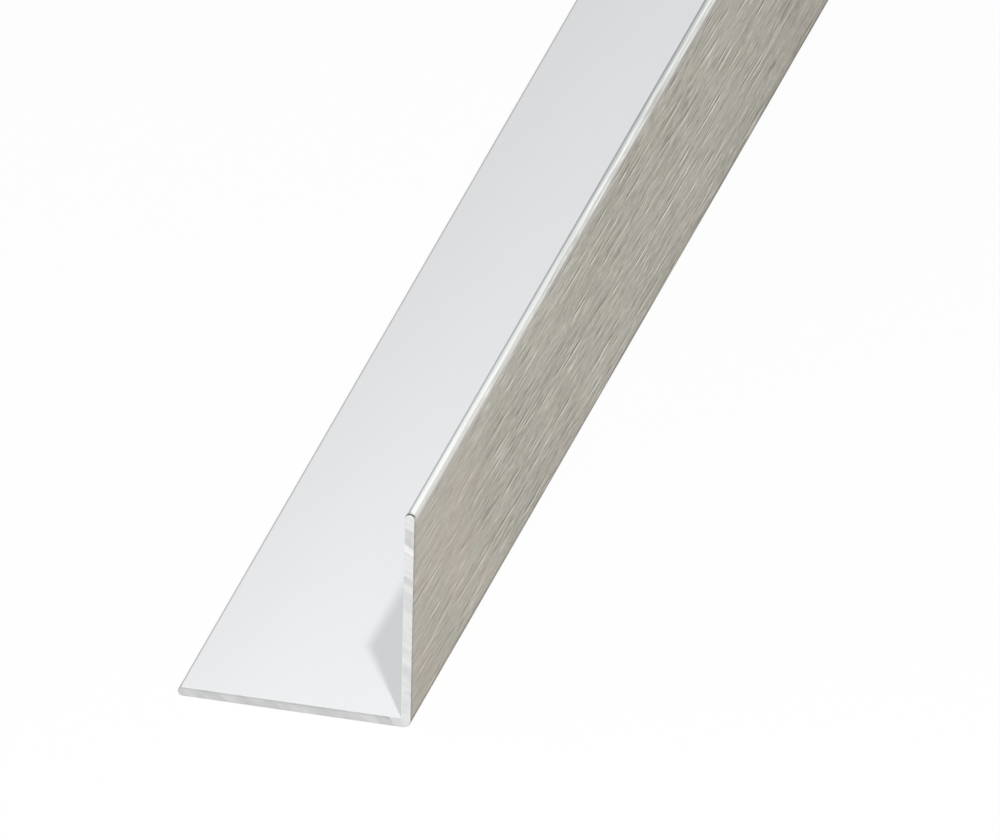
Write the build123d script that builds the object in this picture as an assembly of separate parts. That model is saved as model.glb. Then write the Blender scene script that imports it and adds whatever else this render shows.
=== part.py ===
from build123d import *
import os

# Angle section, extruded in one piece and sawn square to length.
# It lies on its flat leg, with the other leg standing at its edge.
# X runs across the section, from the flat leg's toe at -X to the heel at +X.
# Y runs along the length, Z is up, and the origin is at the middle of the base.

# Driving dimensions, in millimetres
LENGTH = 1000.0
FLAT_LEG = 35.5
STANDING_LEG = 35.5
WALL = 1.5
HEEL_RADIUS = 1.2
TOE_RISE = 0.5

NODE = "angle_section"


def section():
    """The L-shaped outline: toes rounded, heel eased, and the corner between the legs sharp."""
    toe_x = -FLAT_LEG / 2
    heel_x = FLAT_LEG / 2
    inner_x = heel_x - WALL
    # A toe is at most a full half round
    rise = min(TOE_RISE, WALL / 2)
    with BuildSketch(Plane.XZ) as outline:
        with BuildLine():
            base = Line((heel_x, 0), (toe_x + rise, 0))
            flat_toe = ThreePointArc(base @ 1, (toe_x, WALL / 2), (toe_x + rise, WALL))
            ledge = Line(flat_toe @ 1, (inner_x, WALL))
            inner_side = Line(ledge @ 1, (inner_x, STANDING_LEG - rise))
            crown_top = (heel_x - WALL / 2, STANDING_LEG)
            crown = ThreePointArc(inner_side @ 1, crown_top, (heel_x, STANDING_LEG - rise))
            Line(crown @ 1, base @ 0)
        make_face()
        heel = outline.vertices().group_by(Axis.X)[-1].sort_by(Axis.Y)[0]
        fillet(heel, HEEL_RADIUS)
    return outline.sketch


def angle_section():
    """The section drawn out to the stock length, half of it each way from the origin."""
    bar = extrude(section(), amount=LENGTH / 2, both=True)
    bar.label = NODE
    return bar


os.makedirs("parts", exist_ok=True)
export_step(angle_section(), f"parts/{NODE}.step")
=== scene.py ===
import bmesh
import bpy
import math
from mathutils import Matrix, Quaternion, Vector


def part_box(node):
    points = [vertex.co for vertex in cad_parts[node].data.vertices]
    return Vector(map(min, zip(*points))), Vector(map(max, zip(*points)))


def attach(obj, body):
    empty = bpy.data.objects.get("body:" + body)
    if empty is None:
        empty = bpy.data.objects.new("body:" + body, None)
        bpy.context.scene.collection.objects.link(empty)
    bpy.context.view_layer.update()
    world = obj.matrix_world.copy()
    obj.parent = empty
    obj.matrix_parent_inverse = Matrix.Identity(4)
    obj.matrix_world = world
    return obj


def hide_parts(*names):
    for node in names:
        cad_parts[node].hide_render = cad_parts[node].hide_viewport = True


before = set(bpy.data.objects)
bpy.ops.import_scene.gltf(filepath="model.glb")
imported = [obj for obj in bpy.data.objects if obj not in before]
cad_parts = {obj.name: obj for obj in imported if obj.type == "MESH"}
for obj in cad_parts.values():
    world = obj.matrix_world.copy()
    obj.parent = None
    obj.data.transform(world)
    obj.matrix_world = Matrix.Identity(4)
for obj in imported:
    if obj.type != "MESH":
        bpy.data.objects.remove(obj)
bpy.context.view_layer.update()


# The bar is one length of aluminium angle, pushed hot through a die as a single piece.
# The die leaves a sharp inner corner, an eased heel and a shallow arc on the toe of each leg.
# Both ends are sawn square, and a file has been run once round each of them.


class Wire:
    """The output of one node. Sums and products of wires and numbers add Math nodes."""

    def __init__(self, tree, socket=None):
        self.tree = tree
        self.socket = socket

    def node(self, kind, settings=None, sockets=None, output=0):
        """A new node of this kind in the same tree, with its settings made and its sockets fed."""
        made = self.tree.nodes.new(kind)
        for name, value in (settings or {}).items():
            if name == "stops":
                self.set_stops(made.color_ramp.elements, value)
            else:
                setattr(made, name, value)
        for name, value in (sockets or {}).items():
            for one in value if isinstance(value, list) else [value]:
                if isinstance(one, Wire):
                    self.tree.links.new(one.socket, made.inputs[name])
                else:
                    made.inputs[name].default_value = one
        return Wire(self.tree, made.outputs[output])

    def set_stops(self, elements, stops):
        """Gives a ramp these stops, each a place from 0 to 1 and a colour."""
        while len(elements) < len(stops):
            elements.new(1.0)
        for element, (place, colour) in zip(elements, stops):
            element.position = place
            element.color = colour

    def math(self, operation, *values):
        return self.node("ShaderNodeMath", {"operation": operation}, dict(enumerate(values)))

    def __add__(self, other):
        return self.math("ADD", self, other)

    def __radd__(self, other):
        return self.math("ADD", other, self)

    def __sub__(self, other):
        return self.math("SUBTRACT", self, other)

    def __rsub__(self, other):
        return self.math("SUBTRACT", other, self)

    def __mul__(self, other):
        return self.math("MULTIPLY", self, other)

    def __rmul__(self, other):
        return self.math("MULTIPLY", other, self)

    def near(self, other, reach):
        """1 where this is within reach of the other, and 0 elsewhere."""
        return self.math("COMPARE", self, other, reach)


bar_low, bar_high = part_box("angle_section")
drawn = {
    "Toe Side": bar_low.x,
    "Near End": bar_low.y,
    "Far End": bar_high.y,
    "Flat Leg": bar_high.x - bar_low.x,
    "Standing Leg": bar_high.z,
    "Wall": 0.0015,
    "Toe Rise": 0.0005,
    "Heel Radius": 0.0012,
}
HAIRLINE = 0.00002
ARC_STEPS = 17
CREASE = math.radians(20)
END_BREAK = 0.00016
BREAK_STEPS = 2
SAWN_SLOT = 2

brushed = bpy.data.materials.new("brushed_skin")
satin = bpy.data.materials.new("satin_inside")
sawn = bpy.data.materials.new("sawn_end")

drawing = bpy.data.node_groups.new("drawn_bar", "GeometryNodeTree")
for name, value in drawn.items():
    size = drawing.interface.new_socket(name=name, in_out="INPUT", socket_type="NodeSocketFloat")
    size.default_value = value
drawing.interface.new_socket(name="Bar", in_out="OUTPUT", socket_type="NodeSocketGeometry")
given = drawing.nodes.new("NodeGroupInput")
sizes = {name: Wire(drawing, given.outputs[name]) for name in drawn}
bench = Wire(drawing)


def corner(x, z):
    """A point of the section's outline, drawn flat and face down, which the sweep stands up."""
    return bench.node("ShaderNodeCombineXYZ", None, {"X": x, "Y": -1.0 * z})


def straight(start, end):
    return bench.node("GeometryNodeCurvePrimitiveLine", None, {"Start": start, "End": end})


def bend(start, middle, end):
    ends = {"Start": start, "Middle": middle, "End": end, "Resolution": ARC_STEPS}
    return bench.node("GeometryNodeCurveArc", {"mode": "POINTS"}, ends)


toe_x = sizes["Toe Side"]
heel_x = toe_x + sizes["Flat Leg"]
inner_x = heel_x - sizes["Wall"]
toe_shoulder_x = toe_x + sizes["Toe Rise"]
crown_shoulder_z = sizes["Standing Leg"] - sizes["Toe Rise"]
heel_cut = sizes["Heel Radius"] * (1 - math.sqrt(0.5))

heel_up = corner(heel_x, sizes["Heel Radius"])
heel_across = corner(heel_x - sizes["Heel Radius"], 0.0)
toe_under = corner(toe_shoulder_x, 0.0)
toe_over = corner(toe_shoulder_x, sizes["Wall"])
inner_corner = corner(inner_x, sizes["Wall"])
crown_in = corner(inner_x, crown_shoulder_z)
crown_out = corner(heel_x, crown_shoulder_z)
outline = [
    bend(heel_up, corner(heel_x - heel_cut, heel_cut), heel_across),
    straight(heel_across, toe_under),
    bend(toe_under, corner(toe_x, sizes["Wall"] * 0.5), toe_over),
    straight(toe_over, inner_corner),
    straight(inner_corner, crown_in),
    bend(crown_in, corner(heel_x - sizes["Wall"] * 0.5, sizes["Standing Leg"]), crown_out),
    straight(crown_out, heel_up),
]
strokes = bench.node("GeometryNodeJoinGeometry", None, {"Geometry": outline})
loose = bench.node("GeometryNodeCurveToMesh", None, {"Curve": strokes})
welded = bench.node("GeometryNodeMergeByDistance", None, {"Geometry": loose, "Distance": HAIRLINE})
section = bench.node("GeometryNodeMeshToCurve", None, {"Mesh": welded})

near_middle = bench.node("ShaderNodeCombineXYZ", None, {"Y": sizes["Near End"]})
far_middle = bench.node("ShaderNodeCombineXYZ", None, {"Y": sizes["Far End"]})
rail = straight(near_middle, far_middle)
swept = {"Curve": rail, "Profile Curve": section, "Fill Caps": True}
solid = bench.node("GeometryNodeCurveToMesh", None, swept)

place = {"Vector": bench.node("GeometryNodeInputPosition")}
across, along, up = [bench.node("ShaderNodeSeparateXYZ", None, place, axis) for axis in "XYZ"]
at_an_end = along.near(sizes["Near End"], HAIRLINE) + along.near(sizes["Far End"], HAIRLINE)
inside = across.near(inner_x, HAIRLINE) + up.near(sizes["Wall"], HAIRLINE)

turn = bench.node("GeometryNodeInputMeshEdgeAngle")
creased = turn.math("GREATER_THAN", turn, CREASE)
smooth = {"Geometry": solid, "Shade Smooth": True}
solid = bench.node("GeometryNodeSetShadeSmooth", {"domain": "FACE"}, smooth)
sharp = {"Geometry": solid, "Selection": creased, "Shade Smooth": False}
solid = bench.node("GeometryNodeSetShadeSmooth", {"domain": "EDGE"}, sharp)
filed = {"Geometry": solid, "Name": "bevel_weight_edge", "Value": at_an_end}
solid = bench.node("GeometryNodeStoreNamedAttribute", {"domain": "EDGE"}, filed)
solid = bench.node("GeometryNodeRealizeInstances", None, {"Geometry": solid})
solid = bench.node("GeometryNodeSetMaterial", None, {"Geometry": solid, "Material": brushed})
dressed = {"Geometry": solid, "Selection": inside, "Material": satin}
solid = bench.node("GeometryNodeSetMaterial", None, dressed)
dressed = {"Geometry": solid, "Selection": at_an_end, "Material": sawn}
solid = bench.node("GeometryNodeSetMaterial", None, dressed)
result = drawing.nodes.new("NodeGroupOutput")
drawing.links.new(solid.socket, result.inputs["Bar"])

bar = bpy.data.objects.new("angle_bar", bpy.data.meshes.new("angle_bar"))
bpy.context.scene.collection.objects.link(bar)
die = bar.modifiers.new("die", "NODES")
die.node_group = drawing
file_pass = bar.modifiers.new("file_pass", "BEVEL")
file_pass.limit_method = "WEIGHT"
file_pass.width = END_BREAK
file_pass.segments = BREAK_STEPS
file_pass.material = SAWN_SLOT
graph = bpy.context.evaluated_depsgraph_get()
cast = bpy.data.meshes.new_from_object(bar.evaluated_get(graph))
bar.modifiers.clear()
bar.data = cast
skin = bmesh.new()
skin.from_mesh(cast)
bmesh.ops.recalc_face_normals(skin, faces=skin.faces)
skin.to_mesh(cast)
skin.free()
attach(bar, "root")
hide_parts("angle_section")


# The outer faces are brushed along the length with an abrasive belt and anodised in a warm grey.
# The belt leaves short strokes that cross at small angles, darker and lighter than the ground.
# It wears the rounded toes down to bright metal, which also carries painted highlights.
MM_PER_METRE = 1000.0
NOISE_MIDDLE = 0.5


def start_finish(material):
    """The material's own shader and the places across, along and up the bar, in millimetres."""
    material.use_nodes = True
    tree = material.node_tree
    shader = tree.nodes["Principled BSDF"]
    table = Wire(tree)
    coordinates = table.node("ShaderNodeTexCoord", None, None, "Object")
    in_millimetres = {0: coordinates, "Scale": MM_PER_METRE}
    scaled = table.node("ShaderNodeVectorMath", {"operation": "SCALE"}, in_millimetres)
    split = [table.node("ShaderNodeSeparateXYZ", None, {0: scaled}, axis) for axis in "XYZ"]
    return shader, split


def strokes_on(girth, along, width, length, lean=0.0, seed=0.0, detail=2.0):
    """Drawn-out noise: strokes so many millimetres wide and long, leaning off the length in degrees."""
    across_strokes = (girth + along * math.tan(math.radians(lean))) * (1 / width)
    grid = {"X": across_strokes, "Y": along * (1 / length), "Z": seed}
    spot = girth.node("ShaderNodeCombineXYZ", None, grid)
    noise = {"Vector": spot, "Scale": 1.0, "Detail": detail, "Roughness": 0.55}
    return girth.node("ShaderNodeTexNoise", {"noise_dimensions": "3D"}, noise, "Fac")


def blend(share, first, second):
    """A colour between two colours."""
    mix = {"Factor": share, 6: first, 7: second}
    return share.node("ShaderNodeMix", {"data_type": "RGBA"}, mix, 2)


def ease(value, low, high):
    """0 below low, 1 above high, and a soft step between them."""
    steps = {"Value": value, "From Min": low, "From Max": high}
    return value.node("ShaderNodeMapRange", {"interpolation_type": "SMOOTHSTEP"}, steps)


def hairs(girth, along, kinds):
    """Thin hairs, which are the crests of drawn-out noise, with several kinds of them added up."""
    return sum(
        ease(strokes_on(girth - shift, along, width, length, lean, seed, 1.0), start, full) * strength
        for width, length, lean, seed, shift, start, full, strength in kinds
    )


def shade(colour, factor):
    """The colour, made lighter or darker by this factor."""
    return factor.node("ShaderNodeVectorMath", {"operation": "SCALE"}, {0: colour, "Scale": factor})


def above_zero(value):
    return value.math("MAXIMUM", value, 0.0)


def feed(shader, name, wire):
    shader.id_data.links.new(wire.socket, shader.inputs[name])


shader, (across, along, up) = start_finish(brushed)
girth = across + up
low_x, high_x = bar_low.x * MM_PER_METRE, bar_high.x * MM_PER_METRE
high_z, half_length = bar_high.z * MM_PER_METRE, bar_high.y * MM_PER_METRE
wall, toe_rise = drawn["Wall"] * MM_PER_METRE, drawn["Toe Rise"] * MM_PER_METRE
heel_radius = drawn["Heel Radius"] * MM_PER_METRE
streaks = strokes_on(girth, along, width=0.88, length=34.0, lean=0.6, seed=1.0, detail=3.0)
crossing = strokes_on(girth, along, width=0.78, length=17.0, lean=1.4, seed=7.0)
scuffs = strokes_on(girth, along, width=0.5, length=2.2, lean=0.3, seed=17.0, detail=1.0)
clouds = strokes_on(girth, along, width=22.0, length=110.0, seed=21.0, detail=1.0)
streaks, crossing = streaks - NOISE_MIDDLE, crossing - NOISE_MIDDLE
scuffs, clouds = scuffs - NOISE_MIDDLE, clouds - NOISE_MIDDLE

# Hairs, each kind with its width and length, lean, seed, sideways shift, the noise at which it
# starts and is full, and its strength. Two dark kinds lie right beside their bright twins.
BESIDE = 0.35
BRIGHT_HAIRS = [
    (0.72, 20.0, 0.8, 41.0, 0.0, 0.61, 0.72, 1.0),
    (0.60, 13.0, 1.5, 47.0, 0.0, 0.63, 0.74, 1.0),
    (0.60, 13.0, -0.5, 53.0, 0.0, 0.63, 0.74, 1.0),
    (0.60, 7.0, 1.2, 83.0, 0.0, 0.55, 0.72, 0.5),
]
DARK_HAIRS = [
    (0.72, 20.0, 0.8, 41.0, BESIDE, 0.61, 0.72, 1.0),
    (0.60, 13.0, 1.5, 47.0, BESIDE, 0.63, 0.74, 1.0),
    (0.62, 14.0, -0.2, 67.0, 0.0, 0.63, 0.74, 1.0),
    (0.60, 7.0, 0.0, 89.0, 0.0, 0.55, 0.72, 0.6),
]
BRIGHT_STRENGTH, DARK_STRENGTH = 0.56, 0.48
bright_hairs = hairs(girth, along, BRIGHT_HAIRS) * BRIGHT_STRENGTH
dark_hairs = hairs(girth, along, DARK_HAIRS) * DARK_STRENGTH

# The grey goes pinker towards the cut, over a longer stretch near the heel. The belt hardly
# pressed there, so the grain is fainter over the last few centimetres.
NEAR_TO_FAR = (5.0, 150.0)
PINK_TO_PLAIN = (16.0, 40.0)
PINK_HEEL_STRETCH = 20.0
FAINT_TO_FULL = (5.0, 75.0)
from_cut = half_length - along.math("ABSOLUTE", along)
far_off = ease(from_cut, *NEAR_TO_FAR)
heel_share = 1 - up * (1 / high_z)
near_cut = 1 - ease(from_cut - heel_share * PINK_HEEL_STRETCH, *PINK_TO_PLAIN)
press = 0.6 + ease(from_cut, *FAINT_TO_FULL) * 0.42

# Patches of two greys make the ground, and the grain is lighter and darker than it by turns.
GREEN_GREY = (0.439, 0.419, 0.357, 1)
PINK_GREY = (0.457, 0.416, 0.356, 1)
GRAIN_GREY = (0.351, 0.342, 0.319)
GREEN_TO_PINK = (0.50, 0.72)
EVEN_OUT = 0.008
broad_patches = strokes_on(girth, along, width=11.0, length=38.0, seed=31.0, detail=3.0)
small_patches = strokes_on(girth, along, width=3.2, length=16.0, lean=0.6, seed=37.0, detail=1.0)
tint = broad_patches * 0.4 + small_patches * 0.6 + near_cut * 0.12
# Painted light and shade: the ground is lighter away from the cut, a little lighter right at the cut as
# painted lamp light, and darker towards the heel away from the cut as painted shade.
painted_light_and_shade = 0.94 + far_off * 0.08 + near_cut * 0.025 + heel_share * (0.005 - far_off * 0.05)
ground = shade(blend(ease(tint, *GREEN_TO_PINK), GREEN_GREY, PINK_GREY), painted_light_and_shade)
grain = streaks * 1.05 + crossing * 0.6 + scuffs * 0.55 + clouds * 0.35
grain = (grain + bright_hairs - dark_hairs - EVEN_OUT) * press
lit = {0: GRAIN_GREY, 1: grain, 2: ground}
colour = girth.node("ShaderNodeVectorMath", {"operation": "MULTIPLY_ADD"}, lit)

# Round each toe, from the inner face outwards: a dark line, which is a painted dark reflection, then
# bright metal with painted highlights, duller at the shoulder and going over into the brushed ground.
# Near the cut the bands are lighter with painted lamp light.
WEAR_AND_HIGHLIGHT_REACH, WEAR_AND_HIGHLIGHT_EDGE = 1.7, 0.1
FRAYED = (1.35, 1.8)
crown_shoulder, toe_shoulder = high_z - toe_rise, low_x + toe_rise
crown_start, toe_end = crown_shoulder - WEAR_AND_HIGHLIGHT_REACH, toe_shoulder + WEAR_AND_HIGHLIGHT_REACH
on_crown = ease(up, crown_start, crown_start + WEAR_AND_HIGHLIGHT_EDGE)
on_toe = 1 - ease(across, toe_end - WEAR_AND_HIGHLIGHT_EDGE, toe_end)
crown_depth = across - (high_x - wall) + above_zero(crown_shoulder - up)
toe_depth = wall - up + above_zero(across - toe_shoulder)
depth = on_crown * crown_depth + on_toe * toe_depth
depth = depth + grain * ease(depth, *FRAYED) * 0.5
RAMP_REACH = 3.0
# The light stops are bare metal with painted highlights, the dark stops by the inner face a painted
# dark reflection; the near set is lighter, as painted lamp light.
WEAR_AND_HIGHLIGHT_NEAR = [
    (0.00, (0.84, 0.85, 0.86, 1)),
    (0.18, (0.78, 0.79, 0.80, 1)),
    (0.31, (0.37, 0.38, 0.39, 1)),
    (0.44, (0.41, 0.42, 0.43, 1)),
    (0.66, (0.80, 0.81, 0.81, 1)),
    (0.94, (0.92, 0.92, 0.91, 1)),
    (1.20, (0.92, 0.92, 0.90, 1)),
    (1.33, (0.70, 0.70, 0.68, 1)),
    (1.44, (0.64, 0.64, 0.62, 1)),
    (1.66, (0.82, 0.81, 0.79, 1)),
    (1.88, (0.62, 0.61, 0.58, 1)),
    (2.20, (0.53, 0.52, 0.48, 1)),
]
WEAR_AND_HIGHLIGHT_FAR = [
    (0.00, (0.84, 0.85, 0.86, 1)),
    (0.18, (0.78, 0.79, 0.80, 1)),
    (0.32, (0.31, 0.32, 0.33, 1)),
    (0.48, (0.34, 0.35, 0.36, 1)),
    (0.63, (0.51, 0.52, 0.53, 1)),
    (0.79, (0.65, 0.66, 0.66, 1)),
    (0.93, (0.75, 0.76, 0.76, 1)),
    (1.09, (0.93, 0.93, 0.92, 1)),
    (1.16, (0.91, 0.91, 0.90, 1)),
    (1.32, (0.67, 0.67, 0.66, 1)),
    (1.44, (0.75, 0.75, 0.73, 1)),
    (1.62, (0.82, 0.82, 0.79, 1)),
    (1.84, (0.62, 0.61, 0.58, 1)),
    (2.20, (0.43, 0.42, 0.38, 1)),
]


def bands(wear_and_highlight_stops):
    """The colours over the rounding, painted highlights and dark reflection included, by depth from the
    inner face in millimetres.
    """
    stops = [(place / RAMP_REACH, tone) for place, tone in wear_and_highlight_stops]
    return depth.node("ShaderNodeValToRGB", {"stops": stops}, {"Fac": depth * (1 / RAMP_REACH)})


RUBBED = (0.5, 0.9)
GRAINED = (1.2, 1.7)
TOE_GREY = (0.46, 0.46, 0.455, 1)
# Painted highlights and dark reflection over the worn roundings, lighter towards the cut.
polish_and_highlight = blend(far_off, bands(WEAR_AND_HIGHLIGHT_NEAR), bands(WEAR_AND_HIGHLIGHT_FAR))
rubs = strokes_on(depth, along, width=0.3, length=17.0, seed=71.0) - NOISE_MIDDLE
rubs = rubs * ease(depth, *RUBBED) * (0.3 + far_off * 0.9)
polish_and_highlight = shade(polish_and_highlight, 1 + rubs + grain * ease(depth, *GRAINED) * 0.6)
polish_and_highlight = blend(on_toe * 0.85, polish_and_highlight, TOE_GREY)
worn_and_highlit = (on_crown + on_toe) * (1 - ease(depth, WEAR_AND_HIGHLIGHT_REACH, RAMP_REACH))
colour = blend(worn_and_highlit, colour, polish_and_highlight)

# Painted shade darkens the rounding of the heel, where it turns down to the floor, more in some
# stretches than in others.
HEEL_EDGE = 0.2
HEEL_SHADE_TOP = (1.35, 1.75)
HEEL_SHADE_STRETCHES = (0.45, 0.6)
HEEL_SHADE_BROWN = (0.11, 0.105, 0.095, 1)
round_heel = ease(across, high_x - heel_radius - HEEL_EDGE, high_x - heel_radius)
on_heel = round_heel * (1 - ease(up, *HEEL_SHADE_TOP))
heel_shade_stretches = strokes_on(girth, along, width=9.0, length=45.0, seed=77.0, detail=1.0)
colour = blend(on_heel * (0.35 + ease(heel_shade_stretches, *HEEL_SHADE_STRETCHES) * 0.25), colour, HEEL_SHADE_BROWN)

# The saw leaves a dark burnt line on the skin, right at the cut: plain on the crown, and
# faint elsewhere.
BURNT_WIDTH, SINGED_WIDTH = (0.34, 0.56), (0.4, 1.3)
BURNT_DEPTH = (1.2, 1.8)
BURNT_BLACK, SINGED_GREY = (0.09, 0.09, 0.09, 1), (0.25, 0.25, 0.245, 1)
burnt = (1 - ease(from_cut, *BURNT_WIDTH)) * on_crown * (1 - ease(depth, *BURNT_DEPTH))
singed = (1 - ease(from_cut + crossing * 2.0, *SINGED_WIDTH)) * 0.45
colour = blend(singed, colour, SINGED_GREY)
colour = blend(burnt, colour, BURNT_BLACK)

# The anodised film is matt over the metal, so the face keeps its grey from every side.
METAL_SHARE = 0.5
feed(shader, "Base Color", colour)
feed(shader, "Metallic", METAL_SHARE + worn_and_highlit * 0.1)
shader.inputs["Specular IOR Level"].default_value = 0.0
feed(shader, "Roughness", 0.36 + crossing * 0.3)
relief = {"Strength": 1.0, "Distance": 0.00001, "Height": (streaks + crossing) * press}
feed(shader, "Normal", girth.node("ShaderNodeBump", None, relief))


# The inner faces are left as the die made them and anodised clear: pale, smooth and satin.
# Only the faintest die lines run along them, and a painted shade makes them a touch darker towards the
# flat toe.
DULLER_SATIN, PALER_SATIN = (0.79, 0.805, 0.82, 1), (0.82, 0.835, 0.85, 1)
MIST_GREY = (0.81, 0.82, 0.83, 1)
TOE_TO_MIDDLE = (-18.0, -2.0)
shader, (across, along, up) = start_finish(satin)
girth = across + up
die_lines = strokes_on(girth, along, width=0.8, length=400.0, seed=3.0)
mist = strokes_on(girth, along, width=14.0, length=60.0, seed=5.0, detail=1.0)
colour = blend(die_lines, DULLER_SATIN, PALER_SATIN)
colour = blend(mist, colour, MIST_GREY)
# Painted shade: a touch darker towards the flat toe.
colour = shade(colour, 0.985 + ease(across, *TOE_TO_MIDDLE) * 0.035)
feed(shader, "Base Color", colour)
shader.inputs["Metallic"].default_value = 0.4
feed(shader, "Roughness", 0.46 + die_lines * 0.06)


# The ends are bare metal where a saw went through: pale and softly patchy, greyer across the
# flat leg, which is painted shade, and with a dull line along that leg's upper edge.
DULLER_CUT, PALER_CUT = (0.665, 0.675, 0.67, 1), (0.755, 0.76, 0.75, 1)
DULL_TO_PALE = (0.38, 0.58)
BLADE_SLOPE, SHADE_EDGE_SLOPE = 0.5, 0.67


def between(value, low, high, soft):
    """1 from low to high, with soft ends outside them."""
    return ease(value, low - soft, low) * (1 - ease(value, high, high + soft))


shader, (across, _, up) = start_finish(sawn)
slant = up + (across - high_x) * BLADE_SLOPE
patches = strokes_on(slant, across, width=3.2, length=6.0, seed=4.0)
teeth = strokes_on(slant, across, width=0.6, length=4.0, seed=9.0, detail=1.0)
colour = blend(ease(patches, *DULL_TO_PALE), DULLER_CUT, PALER_CUT)
colour = shade(colour, 1 + (teeth - NOISE_MIDDLE) * 0.22)

# Marks of the blade's stroke down the standing leg, at so many millimetres below the crown.
SLIP, GLEAM, SMEAR = (2.7, 5.0), (5.5, 6.3), (10.8, 11.5)
CROWN_ROUNDING = 0.4
below_crown = high_z - CROWN_ROUNDING - slant
outer_edge = ease(across, high_x - 0.6, high_x - 0.2)
slipped = between(below_crown, *SLIP, soft=0.4) * (1 - outer_edge * 0.5)
gleaming = between(below_crown, *GLEAM, soft=0.4)
smeared = between(below_crown, *SMEAR, soft=0.6)
colour = shade(colour, 1 - slipped * 0.16 + gleaming * 0.12 - smeared * 0.15)

# The flat leg's end is painted greyer as shade on the toe's side of a slanting line across the heel,
# and darker in a band just inside that line.
shade_edge = across + up * SHADE_EDGE_SLOPE
shade_edge_line = (high_x - 2.5, high_x - 2.2)
shade_band_line = (high_x - 3.3, high_x - 2.6)
flat_end = 1 - ease(shade_edge, *shade_edge_line)
shade_band = flat_end * ease(shade_edge, *shade_band_line)
upper_edge = ease(up, wall - 0.5, wall - 0.15)
# Painted shade greys the flat leg's end, darker along its upper edge and in the band by the slanting
# line.
colour = shade(colour, 1 - flat_end * (0.14 + upper_edge * 0.12) - shade_band * 0.06)
feed(shader, "Base Color", colour)
shader.inputs["Metallic"].default_value = 0.5
feed(shader, "Roughness", 0.40 + teeth * 0.15)
relief = {"Strength": 0.6, "Distance": 0.00002, "Height": teeth}
feed(shader, "Normal", slant.node("ShaderNodeBump", None, relief))


# The floor is a plain white sheet of paper, far wider than the view and just under the bar.
# It is white to the camera and in reflections, and keeps only a faint shadow.
FLOOR_HALF = 6.0
FLOOR_GAP = 0.00003
SHADOW_KEPT = 0.05
WHITE, PAPER_WHITE = (1, 1, 1, 1), (0.95, 0.95, 0.95, 1)
floor_signs = ((-1, -1), (1, -1), (1, 1), (-1, 1))
floor_corners = [(x * FLOOR_HALF, y * FLOOR_HALF, -FLOOR_GAP) for x, y in floor_signs]
floor_mesh = bpy.data.meshes.new("floor")
floor_mesh.from_pydata(floor_corners, [], [(0, 1, 2, 3)])
floor = bpy.data.objects.new("floor", floor_mesh)
bpy.context.scene.collection.objects.link(floor)
paper = bpy.data.materials.new("white_paper")
paper.use_nodes = True
floor_mesh.materials.append(paper)
shader = paper.node_tree.nodes["Principled BSDF"]
shader.inputs["Base Color"].default_value = PAPER_WHITE
shader.inputs["Roughness"].default_value = 1.0
shader.inputs["Specular IOR Level"].default_value = 0.0
sheet = Wire(paper.node_tree)
SEEN = ("Is Camera Ray", "Is Glossy Ray", "Is Transmission Ray")


def seen_rays(table):
    """1 for the rays that show the surroundings: the camera's, and those off or through gloss."""
    camera, glossy, through = [table.node("ShaderNodeLightPath", None, None, name) for name in SEEN]
    return camera.math("MINIMUM", camera + glossy + through, 1.0)


plain_white = sheet.node("ShaderNodeEmission", None, {"Color": WHITE, "Strength": 1.0})
paper_shader = Wire(paper.node_tree, shader.outputs[0])
shares = {"Fac": seen_rays(sheet) * (1 - SHADOW_KEPT), 1: paper_shader, 2: plain_white}
mixed = sheet.node("ShaderNodeMixShader", None, shares)
paper.node_tree.links.new(mixed.socket, paper.node_tree.nodes["Material Output"].inputs["Surface"])


# Soft studio light: a pale surround from everywhere, a weak broad fill from the left, and one
# small lamp over the near end, which throws the standing leg's shadow onto the flat leg and
# fades along the bar.
SURROUND = 0.517
KEY_FROM, KEY_DISTANCE = (27.5, 55.8), 0.35
FILL_FROM = (-80, 15)
world = bpy.data.worlds.new("surround")
bpy.context.scene.world = world
world.use_nodes = True
background = world.node_tree.nodes["Background"]
air = Wire(world.node_tree)
feed(background, "Strength", SURROUND + seen_rays(air) * (1 - SURROUND))
background.inputs["Color"].default_value = WHITE


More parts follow.
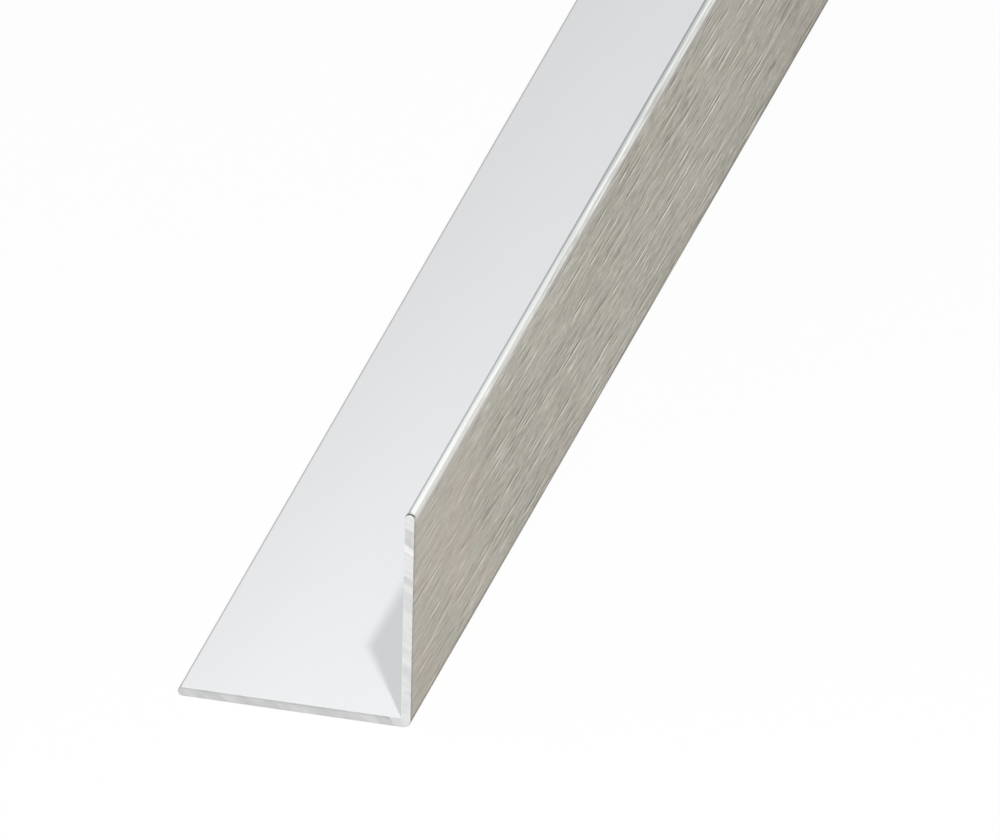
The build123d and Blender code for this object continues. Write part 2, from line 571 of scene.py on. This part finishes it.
def towards(azimuth, elevation):
    """The way to a lamp or the camera: degrees round from the near end to the heel's side, and up."""
    turned, raised = math.radians(azimuth), math.radians(elevation)
    level = math.cos(raised)
    return Vector((math.sin(turned) * level, -math.cos(turned) * level, math.sin(raised)))


near_crown = Vector((bar_high.x - drawn["Wall"], bar_low.y, bar_high.z))
key_light = bpy.data.lights.new("key", "POINT")
key_light.energy = 3.25
key_light.shadow_soft_size = 0.009
key = bpy.data.objects.new("key", key_light)
key.location = near_crown + towards(*KEY_FROM) * KEY_DISTANCE
bpy.context.scene.collection.objects.link(key)
fill_light = bpy.data.lights.new("fill", "SUN")
fill_light.energy = 0.3
fill_light.angle = math.radians(50)
fill = bpy.data.objects.new("fill", fill_light)
fill.rotation_mode = "QUATERNION"
fill.rotation_quaternion = (-towards(*FILL_FROM)).to_track_quat("-Z", "Y")
bpy.context.scene.collection.objects.link(fill)


# The photograph is a parallel view from the near end, a little to the right and above.
# The camera is moved sideways until the heel's near corner stands on its pixel.
VIEW_FROM = (14.643, 28.223)
ROLL = math.radians(1.111)
PIXELS_PER_METRE = 6799.0
IMAGE_WIDTH, IMAGE_HEIGHT = 1000, 840
HEEL_PIXEL = (410.48, 728.61)
CAMERA_DISTANCE = 2.0
heel = Vector((bar_high.x, bar_low.y, 0.0))
lens = bpy.data.cameras.new("camera")
lens.type = "ORTHO"
lens.ortho_scale = IMAGE_WIDTH / PIXELS_PER_METRE
lens.clip_end = 20.0
camera = bpy.data.objects.new("camera", lens)
aim = (-towards(*VIEW_FROM)).to_track_quat("-Z", "Y") @ Quaternion((0, 0, 1), ROLL)
rightward = (HEEL_PIXEL[0] - IMAGE_WIDTH / 2) / PIXELS_PER_METRE
upward = (IMAGE_HEIGHT / 2 - HEEL_PIXEL[1]) / PIXELS_PER_METRE
camera.rotation_mode = "QUATERNION"
camera.rotation_quaternion = aim
camera.location = heel - aim @ Vector((rightward, upward, -CAMERA_DISTANCE))
bpy.context.scene.collection.objects.link(camera)
bpy.context.scene.camera = camera
bpy.context.scene.view_settings.view_transform = "Standard"
